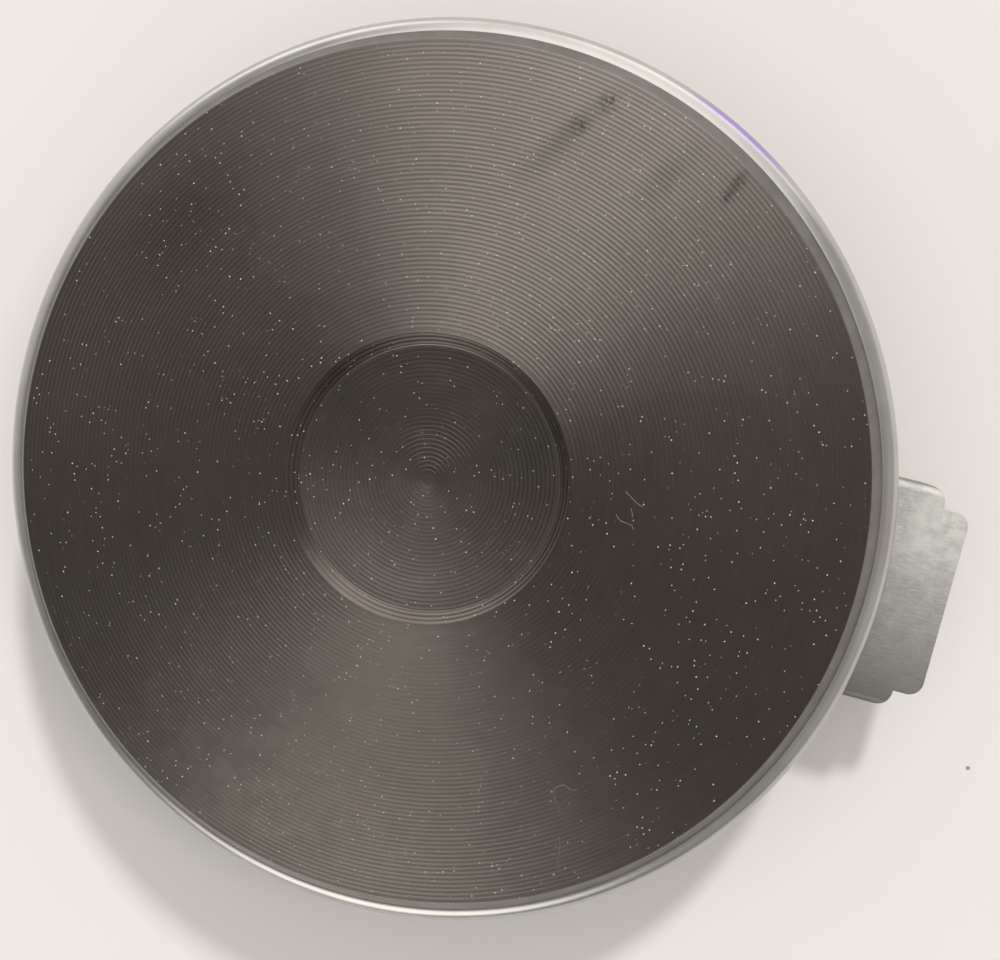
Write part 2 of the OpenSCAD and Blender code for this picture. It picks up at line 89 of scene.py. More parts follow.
def add_camera():
    data = bpy.data.cameras.new("camera")
    data.lens, data.sensor_width, data.sensor_fit = 46.8, 36.0, "AUTO"
    data.clip_start, data.clip_end = 0.01, 20
    holder = bpy.data.objects.new("camera", data)
    holder.location = Vector((52.47, 29.76, 279.65)) * MM
    holder.rotation_euler = [math.radians(t) for t in (-3.548, 9.382, 13.921)]
    bpy.context.scene.collection.objects.link(holder)
    bpy.context.scene.camera = holder


# What the metal mirrors: colour by height, from the horizon (0) to overhead (1), and patches of
# (azimuth, elevation, reach in degrees, colour)
ROOM_BY_HEIGHT = [(0.0, (0.24, 0.226, 0.212)), (0.30, (0.17, 0.163, 0.156)), (0.60, (0.115, 0.110, 0.105)),
                  (0.85, (0.068, 0.065, 0.063)), (1.0, (0.095, 0.091, 0.089))]
ROOM_PATCHES = [(168, 18, 38, (0.45, 0.432, 0.41)), (228, 34, 32, (0.04, 0.038, 0.036)),
                (356, 30, 30, (0.24, 0.212, 0.188)), (130, 4, 30, (1.50, 1.45, 1.39)),
                (80, 6, 34, (1.50, 1.45, 1.39)),
                (92, 42, 33, (1.10, 1.08, 1.05)), (106, 66, 22, (1.45, 1.43, 1.39)),
                (264, 32, 29, (1.82, 1.76, 1.68)), (252, 69, 27, (0.014, 0.013, 0.013)),
                (305, -8, 42, (0.05, 0.047, 0.044))]


# Materials

class Look:
    """A Principled material and short calls that add nodes to it."""

    def __init__(self, name, **sockets):
        self.material = bpy.data.materials.new(name)
        self.material.use_nodes = True
        self.tree = self.material.node_tree
        self.shader = self.tree.nodes["Principled BSDF"]
        self.set(**sockets)
        place = self.add("TexCoord").outputs["Object"]
        self.mm = self.vector("SCALE", place, scale=1 / MM)
        self.x, self.y, self.z = self.add("SeparateXYZ", Vector=self.mm).outputs
        flat = self.vector("MULTIPLY", self.mm, (1, 1, 0))
        self.r = self.vector("LENGTH", flat)
        self.outward = self.vector("NORMALIZE", flat)

    def add(self, kind, settings=None, **inputs):
        node = self.tree.nodes.new("ShaderNode" + kind)
        for key, value in (settings or {}).items():
            setattr(node, key, value)
        for key, value in inputs.items():
            self.join(node.inputs[key.replace("_", " ")], value)
        return node

    def join(self, socket, value):
        if isinstance(value, bpy.types.NodeSocket):
            self.tree.links.new(value, socket)
        else:
            socket.default_value = value

    def set(self, **sockets):
        for key, value in sockets.items():
            self.join(self.shader.inputs[key.replace("_", " ")], value)

    def math(self, operation, *values, clamp=False):
        node = self.add("Math", {"operation": operation, "use_clamp": clamp})
        for socket, value in zip(node.inputs, values):
            self.join(socket, value)
        return node.outputs[0]

    def vector(self, operation, a, b=None, scale=None):
        node = self.add("VectorMath", {"operation": operation})
        self.join(node.inputs[0], a)
        if b is not None:
            self.join(node.inputs[1], b)
        if scale is not None:
            self.join(node.inputs["Scale"], scale)
        return node.outputs["Value" if operation in ("LENGTH", "DISTANCE") else "Vector"]

    def noise(self, vector, scale, detail=2.0, roughness=0.5):
        """Noise from 0 to 1; scale is cells per unit of the vector."""
        return self.add("TexNoise", Vector=vector, Scale=scale, Detail=detail,
                        Roughness=roughness).outputs[0]

    def ring_noise(self, scale, along, detail=2.0):
        """Noise in rings round Z: scale cells per mm outwards, along cells round the axis."""
        around = self.vector("SCALE", self.outward, scale=along)
        out = self.add("CombineXYZ", Z=self.math("MULTIPLY", self.r, scale)).outputs[0]
        return self.noise(self.vector("ADD", around, out), 1.0, detail)

    def ramp(self, value, *stops):
        """A grey ramp from (place, grey) stops."""
        ramp = self.add("ValToRGB", Fac=value)
        elements = ramp.color_ramp.elements
        while len(elements) < len(stops):
            elements.new(0.5)
        for element, (place, grey) in zip(elements, stops):
            element.position = place
            element.color = (grey, grey, grey, 1)
        return ramp.outputs["Color"]

    def blend(self, factor, a, b):
        node = self.add("Mix", {"data_type": "RGBA"})
        for socket, value in ((node.inputs[0], factor), (node.inputs[6], a), (node.inputs[7], b)):
            if isinstance(value, tuple):
                value = (*value, 1)
            self.join(socket, value)
        return node.outputs[2]

    def fit(self, value, low, high):
        """A value of 0 to 1 spread over low to high."""
        return self.add("MapRange", Value=value, To_Min=low, To_Max=high).outputs[0]

    def bump(self, height, distance, strength=1.0, under=None):
        """A bump of that height in mm, on top of another if one is given."""
        node = self.add("Bump", Height=height, Distance=distance * MM, Strength=strength)
        if under is not None:
            self.join(node.inputs["Normal"], under)
        return node.outputs[0]

    def rounded(self, radius):
        """A normal that rounds sharp edges off by that radius in mm."""
        return self.add("Bevel", {"samples": 6}, Radius=radius * MM).outputs[0]

    def band(self, x, y, turn, length, width):
        """1 in the middle of a streak, falling to 0 at its half length and half width."""
        place = self.add("Mapping", {"vector_type": "TEXTURE"}, Vector=self.vector("MULTIPLY", self.mm, (1, 1, 0)),
                         Location=(x, y, 0), Rotation=(0, 0, math.radians(turn)), Scale=(length, width, 1))
        away = self.vector("LENGTH", place.outputs[0])
        return self.add("MapRange", {"interpolation_type": "SMOOTHSTEP"}, Value=away, From_Min=1.0,
                        From_Max=0.0).outputs[0]

    def near(self, x, y, reach):
        """1 at a spot of the plate, falling to 0 at that distance."""
        gap = self.vector("DISTANCE", self.vector("MULTIPLY", self.mm, (1, 1, 0)), (x, y, 0))
        return self.add("MapRange", Value=gap, From_Min=0.0, From_Max=reach, To_Min=1.0,
                        To_Max=0.0).outputs[0]


# Darker smears on the face: middle (x, y), direction in degrees, half length, half width, strength
SMEARS = [(13.2, 75.8, 49, 13.0, 3.4, 0.25), (8.9, 68.5, 52, 14.0, 4.2, 0.22), (32.4, 69.2, 55, 12.0, 4.5, 0.20),
          (45.8, 70.2, 68, 6.0, 1.8, 0.38), (-62.0, 40.0, 60, 26.0, 13.0, 0.25)]


def turned_iron(name, grain, dark, light, streak, rough):
    """Dark machined iron under a thin heat-resistant finish, with dust, smears and scuffs; one pale dusty band is
    partly painted sheen.
    """
    look = Look(name, Anisotropic=grain, Anisotropic_Rotation=0.25)
    broad = look.noise(look.mm, 0.035, 3, 0.6)
    cloudy = look.noise(look.mm, 0.22, 5, 0.65)
    turned = look.ring_noise(9.0, 5.0, 3)
    body = look.blend(look.ramp(broad, (0.3, 0.0), (0.7, 1.0)), dark, light)
    body = look.blend(look.math("MULTIPLY", look.ramp(turned, (0.35, 0.0), (0.7, 1.0)), 0.5),
                      body, streak)
    smear = look.math("MULTIPLY", look.ramp(cloudy, (0.50, 0.0), (0.76, 1.0)), 0.16)
    for x, y, reach in ((17, -42.5, 4), (21.5, -41, 4.5), (34, -37, 6), (40, -33, 4)):
        spot = look.math("MULTIPLY", look.near(x, y, reach), look.ramp(cloudy, (0.4, 0.1), (0.6, 1.0)))
        smear = look.math("ADD", smear, look.math("MULTIPLY", spot, 0.7), clamp=True)
    body = look.blend(smear, body, (0.26, 0.238, 0.217))
    crossing = look.noise(look.vector("MULTIPLY", look.mm, (1.0, 1.0, 0.0)), 1.1, 4, 0.7)
    for x, y, reach in ((13.7, 75.2, 2.6), (18.2, 81.0, 3.0), (46.4, 71.4, 1.9), (45.0, 68.2, 1.9)):
        spot = look.math("MULTIPLY", look.near(x, y, reach),
                         look.ramp(crossing, (0.45, 0.0), (0.6, 0.9)), clamp=True)
        body = look.blend(spot, body, (0.045, 0.039, 0.034))
    # Pale dust in a broad band towards -Y, partly painted sheen that brightens the face there.
    dust = look.math("MULTIPLY", look.band(-18, -72, -20, 45, 22), look.ramp(cloudy, (0.42, 0.1), (0.62, 1.0)))
    body = look.blend(look.math("MULTIPLY", dust, 0.22), body, (0.39, 0.365, 0.33))
    for x, y, turn, length, width, dark_part in SMEARS:
        band = look.math("MULTIPLY", look.band(x, y, turn, length, width), dark_part)
        body = look.blend(band, body, (0.062, 0.055, 0.048))
    specks = speck_mask(look, 0.95, 0.135)
    body = look.blend(specks, body, (0.74, 0.70, 0.62))
    look.set(Base_Color=body, Roughness=look.fit(cloudy, *rough),
             Metallic=look.math("SUBTRACT", 1.0, specks, clamp=True),
             Tangent=look.add("Tangent", {"direction_type": "RADIAL", "axis": "Z"}).outputs[0])
    look.set(Normal=look.bump(turned, 0.003))
    return look.material


def speck_mask(look, scale, size):
    """Small grains of dust: one in some of the cells of a loose grid."""
    grain = look.add("TexVoronoi", {"voronoi_dimensions": "3D"}, Vector=look.mm, Scale=scale)
    chance, share, _ = look.add("SeparateXYZ", Vector=grain.outputs["Color"]).outputs
    limit = look.math("MULTIPLY", look.fit(share, 0.35, 1.0), size)
    inside = look.math("LESS_THAN", grain.outputs["Distance"], limit)
    return look.math("MULTIPLY", inside, look.math("GREATER_THAN", chance, 0.35))


def machined_iron():
    """The smooth bevel round the cooking face."""
    look = Look("machined_iron", Metallic=0.92, Anisotropic=0.3)
    turned = look.ring_noise(7.0, 3.0, 3)
    patchy = look.noise(look.mm, 0.12, 4, 0.6)
    body = look.blend(look.ramp(patchy, (0.35, 0.0), (0.7, 1.0)),
                      (0.190, 0.176, 0.165), (0.255, 0.240, 0.228))
    body = look.blend(look.math("MULTIPLY", speck_mask(look, 0.8, 0.05), 0.7), body, (0.5, 0.47, 0.42))
    look.set(Base_Color=body, Roughness=look.fit(turned, 0.36, 0.52),
             Tangent=look.add("Tangent", {"direction_type": "RADIAL", "axis": "Z"}).outputs[0],
             Normal=look.bump(turned, 0.005))
    return look.material


def cast_iron():
    """The skirt and the underside as they came out of the sand, under the black finish."""
    look = Look("cast_iron", Roughness=0.62)
    grain = look.noise(look.mm, 1.6, 5, 0.65)
    pits = look.noise(look.mm, 0.5, 3)
    body = look.blend(look.ramp(grain, (0.35, 0.0), (0.7, 1.0)),
                      (0.026, 0.024, 0.022), (0.062, 0.056, 0.050))
    look.set(Base_Color=body, Roughness=look.fit(pits, 0.5, 0.75),
             Normal=look.bump(pits, 0.15, 0.8, look.bump(grain, 0.10)))
    return look.material


def ring_steel():
    """Bright rolled steel with the fine rings that polishing leaves, with painted shade on its steep outer side
    and a painted purple reflection on its outer part at one place.
    """
    look = Look("ring_steel", Metallic=0.66, Anisotropic=0.25)
    lines = look.ring_noise(16.0, 2.0, 3)
    film = look.noise(look.mm, 0.09, 4, 0.6)
    body = look.blend(look.ramp(film, (0.35, 0.0), (0.7, 1.0)),
                      (0.45, 0.436, 0.408), (0.505, 0.495, 0.474))
    body = look.blend(look.math("MULTIPLY", speck_mask(look, 0.7, 0.05), 0.6), body, (0.45, 0.42, 0.38))
    up = look.add("SeparateXYZ", Vector=look.add("NewGeometry").outputs["Normal"]).outputs["Z"]
    # Painted shade: the steep outer side of the ring is darkened.
    side = look.add("MapRange", Value=up, From_Min=0.45, From_Max=0.15).outputs[0]
    body = look.blend(look.math("MULTIPLY", side, 0.3), body, (0.27, 0.25, 0.21))
    # Painted reflection: a purple tint on the outer part of the ring, at one place round it.
    outer = look.add("MapRange", Value=look.r, From_Min=91.8, From_Max=92.8).outputs[0]
    painted_purple_reflection = look.math("MULTIPLY", look.math("MULTIPLY", look.near(44.4, 81.7, 15), 1.6, clamp=True), outer)
    painted_purple_reflection = look.math("MULTIPLY", painted_purple_reflection, look.add("MapRange", Value=up, From_Max=0.3).outputs[0])
    body = look.blend(look.math("MULTIPLY", painted_purple_reflection, 0.8), body, (0.36, 0.25, 0.60))
    look.set(Base_Color=body, Roughness=look.fit(film, 0.17, 0.27),
             Tangent=look.add("Tangent", {"direction_type": "RADIAL", "axis": "Z"}).outputs[0],
             Normal=look.bump(lines, 0.002, 1.0, look.bump(look.noise(look.mm, 0.12, 2), 0.02)))
    return look.material


def zinc_sheet():
    """Zinc-plated sheet: pale and dull, drawn lines across, mottled, with a painted highlight near one corner, and
    painted shade towards the near side and along the folded edges."""
    look = Look("zinc_sheet", Metallic=0.28)
    drawn = look.noise(look.vector("MULTIPLY", look.mm, (0.35, 3.2, 2.0)), 1.0, 5, 0.65)
    crossed = look.noise(look.vector("MULTIPLY", look.mm, (1.6, 0.5, 0.5)), 1.0, 4, 0.6)
    bloom = look.noise(look.mm, 0.30, 5, 0.65)
    mixed = look.math("ADD", look.math("MULTIPLY", drawn, 0.6), look.math("MULTIPLY", bloom, 0.25))
    mixed = look.math("ADD", mixed, look.math("MULTIPLY", crossed, 0.15))
    body = look.blend(look.ramp(mixed, (0.36, 0.0), (0.64, 1.0)), (0.39, 0.378, 0.355),
                      (0.70, 0.688, 0.653))
    # Painted highlight: a pale patch near one corner of the bracket, broken up by the zinc's mottle.
    pale = look.math("MULTIPLY", look.near(103, 17, 15), look.ramp(bloom, (0.40, 0.3), (0.62, 1.0)))
    body = look.blend(look.math("MULTIPLY", pale, 0.95), body, (0.78, 0.768, 0.723))
    # Painted shade: the sheet darkens towards the near side, towards -Y.
    painted_lower_shade = look.add("MapRange", Value=look.y, From_Min=10.0, From_Max=-24.0).outputs[0]
    body = look.blend(look.math("MULTIPLY", painted_lower_shade, 0.95), body, (0.135, 0.129, 0.121))
    up = look.add("SeparateXYZ", Vector=look.add("NewGeometry").outputs["Normal"]).outputs["Z"]
    # Painted shade along the folded edges: faces that turn away from straight up are darkened.
    side = look.add("MapRange", Value=up, From_Min=0.95, From_Max=0.5).outputs[0]
    body = look.blend(look.math("MULTIPLY", side, 0.8), body, (0.125, 0.117, 0.105))
    look.set(Base_Color=body, Roughness=look.fit(mixed, 0.50, 0.30))
    under = look.bump(bloom, 0.05, 1.0, look.rounded(0.3))
    look.set(Normal=look.bump(drawn, 0.016, 1.0, under))
    return look.material


def sheet_look(name, dark, light, streak=(0.12, 2.6, 2.6), rough=(0.30, 0.50), lift=0.012,
               metallic=0.95, edge=0.15, spots=0.0):
    """Coated sheet with streaks along one direction, small scratches and a dull film."""
    look = Look(name, Metallic=metallic)
    drawn = look.noise(look.vector("MULTIPLY", look.mm, streak), 1.0, 5, 0.62)
    bloom = look.noise(look.mm, 0.16, 4, 0.6)
    grain = look.noise(look.mm, 2.4, 3)
    mixed = look.math("ADD", look.math("MULTIPLY", drawn, 0.6), look.math("MULTIPLY", bloom, 0.4))
    body = look.blend(look.ramp(mixed, (0.36, 0.0), (0.64, 1.0)), dark, light)
    if spots:
        body = look.blend(look.math("MULTIPLY", speck_mask(look, 0.9, 0.07), spots), body,
                          tuple(0.35 * c for c in dark))
    look.set(Base_Color=body, Roughness=look.fit(mixed, rough[1], rough[0]))
    under = look.bump(grain, lift * 0.6, 1.0, look.rounded(edge))
    look.set(Normal=look.bump(drawn, lift, 1.0, under))
    return look.material


def ceramic_look(name, dark, light, rough=(0.32, 0.48), lift=0.02, edge=0.35):
    """Steatite: fired, a little uneven, faintly glossy, with grey handling marks."""
    look = Look(name, Specular_IOR_Level=0.5)
    cloud = look.noise(look.mm, 0.28, 4, 0.6)
    grain = look.noise(look.mm, 3.2, 4, 0.6)
    body = look.blend(look.ramp(cloud, (0.35, 0.0), (0.7, 1.0)), dark, light)
    grey = look.ramp(look.noise(look.mm, 0.55, 5, 0.7), (0.60, 0.0), (0.78, 0.5))
    body = look.blend(grey, body, tuple(0.62 * c for c in dark))
    look.set(Base_Color=body, Roughness=look.fit(grain, *rough),
             Normal=look.bump(grain, lift, 1.0, look.rounded(edge)))
    return look.material


def wire_look(name, dark, light, metallic=1.0):
    look = Look(name, Metallic=metallic)
    film = look.noise(look.mm, 0.7, 4, 0.6)
    look.set(Base_Color=look.blend(look.ramp(film, (0.3, 0.0), (0.7, 1.0)), dark, light),
             Roughness=look.fit(film, 0.24, 0.42), Normal=look.bump(film, 0.01))
    return look.material


def paper():
    look = Look("paper", Roughness=0.8, Specular_IOR_Level=0.2)
    broad = look.noise(look.mm, 0.006, 2)
    flat = look.vector("MULTIPLY", look.mm, (1, 1, 0))
    fibres = look.noise(look.mm, 1.2, 4, 0.6)
    body = look.blend(broad, (0.775, 0.742, 0.722), (0.815, 0.787, 0.765))
    dot = look.math("LESS_THAN", look.vector("DISTANCE", flat, (125.5, -35.0, 0)), 0.45)
    look.set(Base_Color=look.blend(look.math("MULTIPLY", dot, 0.7), body, (0.10, 0.09, 0.08)),
             Normal=look.bump(fibres, 0.02))
    return look.material


def light_world():
    """A room seen by the metal: dark overhead, where the viewer is, and lighter to the sides."""
    world = bpy.data.worlds.new("surroundings")
    bpy.context.scene.world = world
    world.use_nodes = True
    world.cycles_visibility.diffuse = False
    tree = world.node_tree
    nodes, link = tree.nodes, tree.links.new
    nodes.clear()
    way = nodes.new("ShaderNodeTexCoord").outputs["Generated"]
    up = nodes.new("ShaderNodeSeparateXYZ")
    link(way, up.inputs[0])
    height = nodes.new("ShaderNodeValToRGB")
    link(up.outputs["Z"], height.inputs[0])
    elements = height.color_ramp.elements
    while len(elements) < len(ROOM_BY_HEIGHT):
        elements.new(0.5)
    for element, (place, colour) in zip(elements, ROOM_BY_HEIGHT):
        element.position, element.color = place, (*colour, 1)
    total = height.outputs["Color"]
    for azimuth, elevation, reach, colour in ROOM_PATCHES:
        toward = nodes.new("ShaderNodeVectorMath")
        toward.operation = "DOT_PRODUCT"
        link(way, toward.inputs[0])
        toward.inputs[1].default_value = on_sphere(azimuth, elevation, 1)
        fall = nodes.new("ShaderNodeMapRange")
        fall.interpolation_type = "SMOOTHSTEP"
        link(toward.outputs["Value"], fall.inputs["Value"])
        fall.inputs["From Min"].default_value = math.cos(math.radians(reach))
        mix = nodes.new("ShaderNodeMix")
        mix.data_type = "RGBA"
        link(fall.outputs[0], mix.inputs[0])
        link(total, mix.inputs[6])
        mix.inputs[7].default_value = (*colour, 1)
        total = mix.outputs[2]
    around = nodes.new("ShaderNodeBackground")
    link(total, around.inputs["Color"])
    around.inputs["Strength"].default_value = 1.6
    plain = nodes.new("ShaderNodeBackground")
    plain.inputs["Color"].default_value = (0.80, 0.78, 0.77, 1)
    path, pick = nodes.new("ShaderNodeLightPath"), nodes.new("ShaderNodeMixShader")
    link(path.outputs["Is Camera Ray"], pick.inputs[0])
    link(around.outputs[0], pick.inputs[1])
    link(plain.outputs[0], pick.inputs[2])
    link(pick.outputs[0], nodes.new("ShaderNodeOutputWorld").inputs[0])


# Meshes

def make_piece(name, verts, faces, looks, nodes=(), face_looks=None, smooth=True):
    """A piece of the object from points in mm: it rides on the root and may replace nodes."""
    mesh = bpy.data.meshes.new(name)
    mesh.from_pydata([tuple(c * MM for c in v) for v in verts], [], faces)
    for look in looks:
        mesh.materials.append(look)
    if face_looks:
        mesh.polygons.foreach_set("material_index", face_looks)
    if smooth:
        mesh.polygons.foreach_set("use_smooth", [True] * len(mesh.polygons))
    mesh.update()
    piece = bpy.data.objects.new(name, mesh)
    bpy.context.scene.collection.objects.link(piece)
    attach(piece, "root")
    if nodes:
        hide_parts(*nodes)
    return piece


def sharpen(piece, degrees):
    """Edges that turn more than this stay crisp under smooth shading."""
    piece.data.set_sharp_from_angle(angle=math.radians(degrees))


def arc(cx, cy, r, a0, a1, n):
    """Points on an arc, in degrees, both ends included."""
    turns = [math.radians(a0 + (a1 - a0) * i / n) for i in range(n + 1)]
    return [(cx + r * math.cos(t), cy + r * math.sin(t)) for t in turns]


def soften(before, corner, after, r, n=3):
    """A corner rounded by about r, with a point beside it on each straight that keeps it flat."""
    c = Vector(corner)
    a, b = (Vector(before) - c).normalized(), (Vector(after) - c).normalized()
    pull = r / math.tan(a.angle(b) / 2)
    start, end = c + a * pull, c + b * pull
    curve = [start.lerp(c, t).lerp(c.lerp(end, t), t) for t in (i / n for i in range(n + 1))]
    return [tuple(p) for p in [start + a * 0.06, *curve, end + b * 0.06]]


def lathe(profile, steps, height_at=None):
    """A closed profile of (r, z) turned round Z; a point at r = 0 becomes a pole."""
    verts, rings, faces, rows = [], [], [], []
    for i, (r, z) in enumerate(profile):
        first = len(verts)
        if r < 1e-6:
            verts.append((0.0, 0.0, z))
            rings.append([first])
            continue
        for k in range(steps):
            t = TAU * k / steps
            x, y = r * math.cos(t), r * math.sin(t)
            verts.append((x, y, height_at(i, x, y, z) if height_at else z))
        rings.append(list(range(first, first + steps)))
    for i, a in enumerate(rings):
        b = rings[(i + 1) % len(rings)]
        for k in range(steps):
            n = (k + 1) % steps
            if len(a) > 1 and len(b) > 1:
                faces.append((a[k], b[k], b[n], a[n]))
            elif len(b) > 1:
                faces.append((a[0], b[k], b[n]))
            elif len(a) > 1:
                faces.append((a[k], b[0], a[n]))
            else:
                continue
            rows.append(i)
    return verts, faces, rows


def face_marks(r_in, r_out):
    """The turned grooves of the face from the inside outwards."""
    points = []
    for k in range(int((r_out - r_in) / GROOVE_PITCH + 1e-9) - 1, -1, -1):
        r = r_out - k * GROOVE_PITCH
        points += [(r - GROOVE_PITCH / 2, TOP_Z - GROOVE_DEPTH), (r, TOP_Z)]
    return points


def recess_marks(r_in, r_out):
    """The tool marks of the recess: steps that rise outwards, shallower towards the middle."""
    points = []
    for k in range(int((r_out - r_in) / GROOVE_PITCH + 1e-9) - 1, -1, -1):
        r = r_out - k * GROOVE_PITCH
        deep = RECESS_MARK * min(1.0, max(0.45, r / 22))
        run = GROOVE_PITCH * (1 - RECESS_STEP)
        points += [(r - run, RECESS_Z - deep), (r - run / 2, RECESS_Z - deep * 0.68), (r, RECESS_Z)]
    return points


def cooking_plate(face, recess, machined, cast):
    """The one casting: grooved face, recess, bevel, skirt and the channels of the underside."""
    lean = math.radians(WALL_LEAN)
    foot_w, foot_h = WALL_FOOT_R * math.sin(lean), WALL_FOOT_R * (1 - math.cos(lean))
    wall_w = (TOP_Z - RECESS_Z - foot_h) / math.tan(lean)
    floor_r = RECESS_R + 0.3 - wall_w - foot_w
    wall = arc(floor_r, RECESS_Z + WALL_FOOT_R, WALL_FOOT_R, -90, WALL_LEAN - 90, 5)
    for i in range(1, 12):
        t, ridge = i / 12, WALL_MARK * math.sin(i * TAU / 4)
        wall.append((wall[5][0] + wall_w * t - ridge * math.sin(lean),
                     wall[5][1] + wall_w * t * math.tan(lean) + ridge * math.cos(lean)))
    top = [(0, STUD_TOP_Z), (0, RECESS_Z)]
    top += recess_marks(GROOVE_PITCH, floor_r - 0.1)
    top += wall + [(RECESS_R + 0.3, TOP_Z)]
    in_recess = len(top) - 1
    top += face_marks(RECESS_R + 0.3, DISC_R - 0.4)
    edge = soften((DISC_R - 1, TOP_Z), (DISC_R, TOP_Z), (FLANGE_R, BEVEL_Z), 0.35)
    foot = soften((DISC_R, TOP_Z), (FLANGE_R, BEVEL_Z), (FLANGE_R, SHELF_Z), 0.2, 2)
    under = [(FLANGE_R, SHELF_Z), (SKIRT_R, SHELF_Z), (SKIRT_R, SKIRT_Z + 0.4),
             (SKIRT_R - 0.4, SKIRT_Z), (SKIRT_IN_R + 0.4, SKIRT_Z), (SKIRT_IN_R, SKIRT_Z + 0.4),
             (SKIRT_IN_R, RIB_Z)]
    rib_ends = {}
    first_under = len(top) + len(edge) + len(foot)
    for i in range(CHANNELS):
        r = HEATED_R - i * CHANNEL_PITCH
        here = first_under + len(under)
        under += [(r, RIB_Z), (r, CEILING_Z), (r - CHANNEL_W, CEILING_Z), (r - CHANNEL_W, RIB_Z)]
        if i % 2 == 0:
            rib_ends[here + 3] = rib_ends[here + 4] = i // 2
    bore_r = STUD_R + THREAD_CLEAR
    under += [(HUB_R, RIB_Z), (HUB_R, HUB_Z), (BOSS_R, HUB_Z), (BOSS_R, FLOOR_Z),
              (bore_r, FLOOR_Z), (bore_r, STUD_TOP_Z)]

    def height_at(i, x, y, z):
        """The notch through each circuit's middle rib, where its wires cross."""
        if i in rib_ends and x > 0 and NOTCH_LOW_Y <= y <= NOTCH_HIGH_Y[rib_ends[i]]:
            return NOTCH_Z
        return z

    verts, faces, rows = lathe(top + edge + foot + under, PLATE_STEPS, height_at)
    starts = (in_recess, len(top) + len(edge) // 2 - 1, first_under)
    kinds = [sum(row >= start for start in starts) for row in rows]
    piece = make_piece("cooking_plate", verts, faces, [recess, face, machined, cast],
                       ["hotplate_body"], kinds)
    sharpen(piece, 8)
    return piece


def trim_ring(look):
    """The rolled ring: a rounded shoulder, a straight fall and a foot folded in under the flange."""
    roll_z, outer_r = BEVEL_Z - ROLL_R, FLANGE_R + ROLL_R
    fold_at = (outer_r - FOLD_R, SEAT_Z + FOLD_R)
    profile = arc(FLANGE_R, roll_z, ROLL_R, 90, 0, 28)
    profile += arc(*fold_at, FOLD_R, 0, -90, 8)
    profile += [(RING_FOOT_R, SEAT_Z), (RING_FOOT_R, SHELF_Z)]
    profile += arc(*fold_at, FOLD_R - RING_T, -90, 0, 6)
    profile += arc(FLANGE_R, roll_z, ROLL_R - RING_T, 0, 90, 14)
    verts, faces, _ = lathe(profile, RING_STEPS)
    piece = make_piece("trim_ring", verts, faces, [look], ["overflow_ring"])
    sharpen(piece, 50)
    return piece


def threaded_stud(look):
    """The mounting stud with its rolled M6 thread, chamfered end and short relief."""
    pitch, root_r, low, high = 1.0, 2.42, STUD_END_Z, 0.0
    steps, per_turn = 48, 10
    count = int((high - low) / pitch * per_turn)
    verts, rings, faces = [], [], []
    for j in range(count + 1):
        z = low + (high - low) * j / count
        ring = []
        for k in range(steps):
            turn = k / steps
            phase = (z / pitch - turn) % 1.0
            crest = min(1.0, max(0.0, 1.35 - abs(phase - 0.5) * 3.4))
            r = root_r + (STUD_R - root_r) * crest
            r = min(r, STUD_R - 0.8 + (z - low) if z < low + 0.8 else r)
            ring.append(len(verts))
            verts.append((r * math.cos(TAU * turn), r * math.sin(TAU * turn), z))
        rings.append(ring)
    for r, z in ((2.7, 0.0), (2.7, 0.8), (STUD_R, 0.8), (STUD_R, STUD_TOP_Z)):
        ring = []
        for k in range(steps):
            t = TAU * k / steps
            ring.append(len(verts))
            verts.append((r * math.cos(t), r * math.sin(t), z))
        rings.append(ring)
    for a, b in zip(rings, rings[1:]):
        for k in range(steps):
            n = (k + 1) % steps
            faces.append((a[k], a[n], b[n], b[k]))
    for ring, z, flip in ((rings[0], low, True), (rings[-1], STUD_TOP_Z, False)):
        centre = len(verts)
        verts.append((0.0, 0.0, z))
        for k in range(steps):
            n = (k + 1) % steps
            faces.append((ring[n], ring[k], centre) if flip else (ring[k], ring[n], centre))
    piece = make_piece("threaded_stud", verts, faces, [look], ["mounting_stud"])
    sharpen(piece, 40)
    return piece


def hex_nut(look):
    """The cover nut with its corners turned off at both faces."""
    steps, flat_r, fall = 96, NUT_AF / 2 - 0.25, math.tan(math.radians(30))
    hole_r = STUD_R + THREAD_CLEAR
    verts, rings, faces = [], [], []
    corner = [NUT_AF / 2 / math.cos((TAU * k / steps) % (TAU / 6) - TAU / 12) for k in range(steps)]
    for at in range(8):
        ring = []
        for k in range(steps):
            t, r_out = TAU * k / steps, corner[k]
            drop = (r_out - flat_r) * fall
            r, z = [(hole_r, 0.35), (hole_r + 0.35, 0), (flat_r, 0), (r_out, drop),
                    (r_out, NUT_H - drop), (flat_r, NUT_H), (hole_r + 0.35, NUT_H),
                    (hole_r, NUT_H - 0.35)][at]
            ring.append(len(verts))
            verts.append((r * math.cos(t), r * math.sin(t), z))
        rings.append(ring)
    for i, a in enumerate(rings):
        b = rings[(i + 1) % len(rings)]
        for k in range(steps):
            n = (k + 1) % steps
            faces.append((a[n], b[n], b[k], a[k]))
    piece = make_piece("hex_nut", verts, faces, [look], ["cover_nut"])
    sharpen(piece, 25)
    return piece


